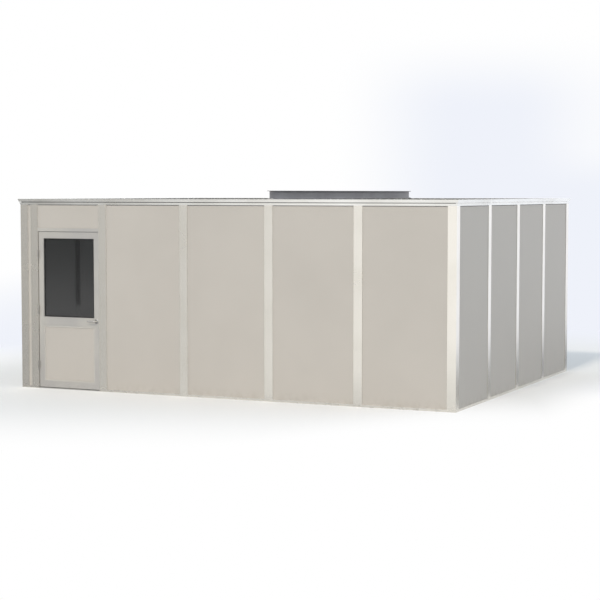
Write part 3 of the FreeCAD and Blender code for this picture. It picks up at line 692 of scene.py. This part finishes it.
# %% Door seals
STOP = 10.0
BULB = 4.5
STOP_FACE = (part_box("door_stops")[0].y + HALF_DEPTH) / MM
SILL_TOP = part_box("threshold")[1].z / MM
HEAD_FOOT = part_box("door_head")[0].z / MM
bulb_depth = STOP_FACE - BULB / 2
bulbs = bmesh.new()
for along in (DOORWAY + STOP / 2, DOORWAY_END - STOP / 2):
    place = wall_place("front", along, bulb_depth, SILL_TOP + 2.0)
    add_strip(bulbs, place, (8.0, BULB, HEAD_FOOT - SILL_TOP - 14.0), 2.0)
over = wall_place("front", (DOORWAY + DOORWAY_END) / 2, bulb_depth, HEAD_FOOT - 9.0)
add_strip(bulbs, over, (DOORWAY_END - DOORWAY - 2 * STOP - 4.0, BULB, 8.0), 2.0)
keep(bulbs, "stop_seals", SEAL_RUBBER, "building")

blade = bmesh.new()
LEAF_FOOT = LEAF_LOW.z / MM
leaf_middle = (LEAF_START + LEAF_END) / 2
under_leaf = wall_place("front", leaf_middle, LEAF_FACE + 12.0, SILL_TOP + 1.0)
add_strip(blade, under_leaf, (LEAF_END - LEAF_START - 4.0, 6.0, LEAF_FOOT - SILL_TOP - 1.0), 1.0)
keep(blade, "sill_blade", SEAL_RUBBER, "door")

# %% [markdown]
# ## Strike plate, latch plate and hinge screws
#
# The plates lie face to face in the narrow joint on the lever's side, and countersunk screws
# hold them and the hinge wings. When the door stands open these are the parts that tell a real
# doorway from a model, so they are drawn although the closed door hides them.

# %% Door ironmongery
TO_RIGHT = Matrix(((0, 0, 1, 0), (1, 0, 0, 0), (0, 1, 0, 0), (0, 0, 0, 1)))
TO_LEFT = Matrix(((0, 0, -1, 0), (-1, 0, 0, 0), (0, 1, 0, 0), (0, 0, 0, 1)))
PLATE = (26.0, 100.0)
STRIKE_BAND = 7.0
STRIKE_THICKNESS = 1.2
LATCH_THICKNESS = 1.0
PLATE_SCREW_END = 6.0
PLATE_SCREW_RADIUS = 2.6
plate_depth = (LEAF_FACE + LEAF_BACK) / 2
rose_low, rose_high = (corner.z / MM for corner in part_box("lever_roses"))
plate_low = (rose_low + rose_high - PLATE[1]) / 2

strike = bmesh.new()
place = wall_place("front", DOORWAY_END, plate_depth + PLATE[0] / 2, plate_low) @ TO_LEFT
add_ring(strike, place, PLATE, STRIKE_BAND, STRIKE_THICKNESS, 0.3)
latch = bmesh.new()
place = wall_place("front", LEAF_END + LATCH_THICKNESS / 2, plate_depth, plate_low)
add_strip(latch, place, (LATCH_THICKNESS, *PLATE), 0.2)
for up in (plate_low + PLATE_SCREW_END, plate_low + PLATE[1] - PLATE_SCREW_END):
    on_strike = wall_place("front", DOORWAY_END - STRIKE_THICKNESS, plate_depth, up) @ TO_LEFT
    add_flat_screw(strike, on_strike, PLATE_SCREW_RADIUS)
    on_latch = wall_place("front", LEAF_END + LATCH_THICKNESS, plate_depth, up) @ TO_RIGHT
    add_flat_screw(latch, on_latch, PLATE_SCREW_RADIUS)
keep(strike, "strike_plate", LEVER_STEEL, "building")
keep(latch, "latch_plate", LEVER_STEEL, "door")

hinge_low, hinge_high = (corner.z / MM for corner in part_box("jamb_hinges"))
HINGE = 114.0
WING = 2.0
SCREW_HOLES = ((0.14, 17.0), (0.38, 26.0), (0.62, 17.0), (0.86, 26.0))
feet = (hinge_low, (hinge_low + hinge_high - HINGE) / 2, hinge_high - HINGE)
jamb_screws, leaf_screws = bmesh.new(), bmesh.new()
for foot in feet:
    for share, depth in SCREW_HOLES:
        up = foot + share * HINGE
        on_jamb = wall_place("front", DOORWAY + WING, depth, up) @ TO_RIGHT
        add_flat_screw(jamb_screws, on_jamb)
        on_leaf = wall_place("front", LEAF_START - WING, depth, up) @ TO_LEFT
        add_flat_screw(leaf_screws, on_leaf)
keep(jamb_screws, "jamb_hinge_screws", SCREW_ZINC, "building")
keep(leaf_screws, "leaf_hinge_screws", SCREW_ZINC, "door")

# %% [markdown]
# ## Light
#
# The photograph has a warm light from the front, high up and a little to the left, and a
# cooler fill, with a soft bluish shadow behind. So a faintly blue world gives the even fill,
# and one soft warm sun gives the front wall its tone and the lever its shadow. Mirrored rays
# see a made-up hall instead of the plain studio: bright to the right, darker to the left and
# with lamps overhead, as the posts and the lever show it. The backdrop has a breath of blue low
# on its right-hand side.

# %% World and lamps
HAZE = shade(239, 242, 250)
WHITE = (1.0, 1.0, 1.0, 1.0)


def ray_kinds(start):
    """One where a ray comes from the camera, a mirror or glass, and each kind by itself."""
    kinds = [start.node("ShaderNodeLightPath", output=f"Is {kind} Ray")
             for kind in ("Camera", "Glossy", "Transmission")]
    return kinds[0].larger(kinds[1]).larger(kinds[2]), kinds[1]


def hall_light(slant):
    """Brightness of the hall in front, which falls towards the left: slant is left per ahead."""
    return (2.1 - slant * 2.6).larger(0.25).smaller(1.35)


world = bpy.data.worlds.new("studio")
bpy.context.scene.world = world
world.use_nodes = True
world.node_tree.nodes.clear()
sky = Wire(world.node_tree)
seen, mirrored = ray_kinds(sky)
direction = sky.node("ShaderNodeTexCoord", output="Generated")
east, north, up = (
    sky.node("ShaderNodeSeparateXYZ", None, {"Vector": direction}, name) for name in "XYZ"
)
in_front = (0 - north).rising(0.0, 0.25) * mirrored
ahead = (north * -1.0).larger(0.05)
on_right = east.rising(0.0, 0.2) * (1 - in_front) * mirrored
left_edge, right_edge = (
    (east + north * slope).rising(0.0, width) for slope, width in ((0.44, 0.09), (0.31, 0.06))
)
low_haze = north.rising(0.0, 0.3) * (1 - up.rising(0.05, 0.1))
haze = left_edge * low_haze * (1 - right_edge * up.rising(0.0, 0.03) * 0.6)
overhead = up.rising(0.12, 0.45)
hall = hall_light(0 - east / ahead) - 1.0
brightness = 1.0 + in_front * ((1 - overhead) * hall + overhead * 0.7) + on_right * 0.45
backdrop = sky.node(
    "ShaderNodeBackground", None, {"Color": scaled(haze.colours(WHITE, HAZE), brightness)}
)
fill = sky.node("ShaderNodeBackground", None, {"Color": (0.84, 0.93, 1.0, 1.0), "Strength": 0.7})
blend = sky.node("ShaderNodeMixShader", None, {0: seen, 1: fill, 2: backdrop})
sky.node("ShaderNodeOutputWorld", None, {"Surface": blend})


def add_sun(name, strength, colour, angle, towards):
    """Broad sun whose light travels towards a direction."""
    lamp = bpy.data.lights.new(name, "SUN")
    lamp.energy = strength
    lamp.color = colour
    lamp.angle = math.radians(angle)
    holder = bpy.data.objects.new(name, lamp)
    holder.rotation_euler = Vector(towards).to_track_quat("-Z", "Y").to_euler()
    bpy.context.scene.collection.objects.link(holder)


add_sun("warm_front_light", 1.27, (1.0, 0.885, 0.725), 6.0, (0.0, 0.75, -0.66))
print("world and one lamp")

# %% [markdown]
# ## Floor and backdrop
#
# The object stands on a pale studio floor that fades to a white backdrop. The floor is matt
# white, so it takes the office's shadow, and away from the walls it fades into pure white for
# rays from the camera, which leaves the light on the object alone. Mirrored rays see the hall's
# brightness on it. That is laid out from the mirror image of the camera in the front wall, at
# two fixed values, so that floor and hall run into each other without a step. One large plane
# is enough: its far edge lies beyond the haze of white.

# %% Floor
MIRRORED_X = camera.location.x
MIRRORED_Y = -2 * HALF_DEPTH - camera.location.y


def floor_finish():
    """Matt white that turns into the backdrop's white in front, to the right and far behind."""
    material, start = new_finish("studio_floor")
    east, north = axis(start, "X"), axis(start, "Y")
    nearer = east * 0.42 - north * 0.91
    corner_pool = (east - 1.2).rising(0.2, 2.2) * (1 - north.rising(-2.5, 2.5))
    in_front = (nearer + corner_pool * 1.6).rising(2.3, 6.2)
    beside = (east - HALF_LENGTH).rising(0.1, 1.3) * (1 - north.rising(-0.5, 2.5))
    left = (0 - east).rising(4.0, 6.5) * north.rising(-2.6, 0.2)
    behind = north.rising(HALF_DEPTH + 1.6, HALF_DEPTH + 7.0)
    seen, mirrored = ray_kinds(start)
    fade = in_front.larger(beside).larger(behind).larger(left) * seen
    hazy = (1 - (0 - east - north * 0.35).rising(5.5, 14.0)) * north.rising(-1.0, 3.0)
    slant = (MIRRORED_X - east) / (MIRRORED_Y - north)
    off_wall = 0 - north - HALF_DEPTH
    # painted shade for mirrored rays: the floor's glow is dimmed far off to the right, near the
    # walls and beside the right wall
    far_right_dim = (1 - slant.rising(0.1, 0.25)) * off_wall.rising(2.0, 6.0)
    hall = hall_light(slant) * (1 - far_right_dim * (1 - off_wall.rising(8.0, 22.0)) * 0.38)
    ahead = (0 - north).rising(HALF_DEPTH - 0.3, HALF_DEPTH + 0.1) * mirrored
    near_dim = (1 - off_wall.rising(1.0, 8.0)) * 0.3 + (1 - off_wall.rising(6.0, 15.0)) * 0.09
    near_dim = near_dim * east.rising(-0.5, 2.0)
    side_shade = (1 - (east - HALF_LENGTH).rising(0.6, 3.1)) * 0.72
    side_shade = side_shade * (1.0 + north.rising(-2.0, -0.5) * 0.3)
    on_right = (east - HALF_LENGTH).rising(0.0, 0.2) * (1 - ahead) * mirrored
    brightness = 1.0 + ahead * (hall - 1.0 - near_dim) + on_right * (0.3 - side_shade)
    grain = noise(start, position(start), 40.0, 3.0)
    matt = start.node("ShaderNodeBsdfPrincipled", None, {
        "Base Color": grain.colours(shade(243, 243, 244), shade(247, 247, 248)),
        "Roughness": 0.75,
    })
    white = start.node(
        "ShaderNodeEmission", None, {"Color": scaled(hazy.colours(WHITE, HAZE), brightness)}
    )
    glow = fade.larger(ahead).larger(on_right)
    mixed = start.node("ShaderNodeMixShader", None, {0: glow, 1: matt, 2: white})
    start.node("ShaderNodeOutputMaterial", None, {"Surface": mixed})
    return material


work = bmesh.new()
bmesh.ops.create_grid(work, x_segments=1, y_segments=1, size=400.0)
floor_mesh = bpy.data.meshes.new("studio_floor")
work.to_mesh(floor_mesh)
work.free()
floor = bpy.data.objects.new("studio_floor", floor_mesh)
bpy.context.scene.collection.objects.link(floor)
floor_mesh.materials.append(floor_finish())
print("floor laid")

bpy.context.scene.view_settings.view_transform = "Standard"
